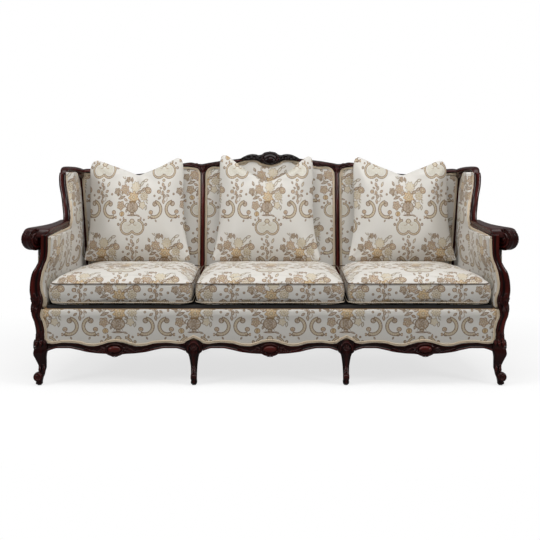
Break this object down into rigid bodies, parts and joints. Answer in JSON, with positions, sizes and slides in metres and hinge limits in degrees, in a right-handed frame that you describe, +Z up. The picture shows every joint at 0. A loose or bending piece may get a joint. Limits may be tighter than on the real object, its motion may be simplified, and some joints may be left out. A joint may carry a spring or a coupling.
{
  "type": "cabriole sofa",
  "caption": "Three-seat wing sofa with carved mahogany show-wood on cabriole legs, brocade cover, loose boxed seat cushions and knife-edge throw pillows.",
  "frame": {"origin": "on the floor, under the middle of the sofa", "axes": "+X to the right as the sofa is faced, +Y from the front to the back, +Z up"},
  "size_m": [2.152, 0.784, 0.9928],
  "materials": {
    "mahogany": "glossy dark lacquer, carved",
    "beech": "bare planed wood",
    "brocade": "satin ground with woven floral pattern",
    "gimp": "twisted cord",
    "lining": "plain weave",
    "jute": "coarse woven strip",
    "steel": "bright zinc"
  },
  "bodies": {
    "frame": {"front_leg_left": "mahogany", "front_leg_right": "mahogany", "centre_leg_left": "mahogany", "centre_leg_right": "mahogany", "rear_leg_left": "mahogany", "rear_leg_right": "mahogany", "rear_centre_legs": "mahogany", "leg_glides": "steel", "arm_post_left": "mahogany", "arm_post_right": "mahogany", "arm_rail_left": "mahogany", "arm_rail_right": "mahogany", "wing_post_left": "mahogany", "wing_post_right": "mahogany", "wing_rail_left": "mahogany", "wing_rail_right": "mahogany", "back_stile_outer_left": "mahogany", "back_stile_outer_right": "mahogany", "back_stile_inner_left": "mahogany", "back_stile_inner_right": "mahogany", "top_rail": "mahogany", "crest_carving": "mahogany", "back_base_rail": "beech", "back_webbing": "jute", "front_rail": "beech", "back_rail": "beech", "side_rail_left": "beech", "side_rail_right": "beech", "seat_stretchers": "beech", "corner_blocks": "beech", "frame_screws": "steel", "apron_left": "mahogany", "apron_centre": "mahogany", "apron_right": "mahogany", "apron_cartouches": "mahogany", "seat_springs": "steel", "spring_clips": "steel", "seat_deck": "lining", "dust_cover": "lining", "front_band": "brocade", "inside_back_left": "brocade", "inside_back_centre": "brocade", "inside_back_right": "brocade", "inside_arm_left": "brocade", "inside_arm_right": "brocade", "inside_wing_left": "brocade", "inside_wing_right": "brocade", "outside_arm_left": "brocade", "outside_arm_right": "brocade", "outside_wing_left": "brocade", "outside_wing_right": "brocade", "outside_back": "brocade", "gimp_back": "gimp", "gimp_front": "gimp"},
    "cushion_left": {"seat_cushion_left": "brocade"},
    "pillow_left": {"throw_pillow_left": "brocade"},
    "cushion_centre": {"seat_cushion_centre": "brocade"},
    "pillow_centre": {"throw_pillow_centre": "brocade"},
    "cushion_right": {"seat_cushion_right": "brocade"},
    "pillow_right": {"throw_pillow_right": "brocade"}
  },
  "joints": [
    {"name": "cushion_left_draw", "type": "slide", "parent": "frame", "child": "cushion_left", "axis": [0, -0.9659, 0.2588], "range_m": [0, 0.62]},
    {"name": "pillow_left_lift", "type": "slide", "parent": "cushion_left", "child": "pillow_left", "axis": [0, 0, 1], "range_m": [0, 0.45]},
    {"name": "cushion_centre_draw", "type": "slide", "parent": "frame", "child": "cushion_centre", "axis": [0, -0.9659, 0.2588], "range_m": [0, 0.62]},
    {"name": "pillow_centre_lift", "type": "slide", "parent": "cushion_centre", "child": "pillow_centre", "axis": [0, 0, 1], "range_m": [0, 0.45]},
    {"name": "cushion_right_draw", "type": "slide", "parent": "frame", "child": "cushion_right", "axis": [0, -0.9659, 0.2588], "range_m": [0, 0.62]},
    {"name": "pillow_right_lift", "type": "slide", "parent": "cushion_right", "child": "pillow_right", "axis": [0, 0, 1], "range_m": [0, 0.45]}
  ]
}
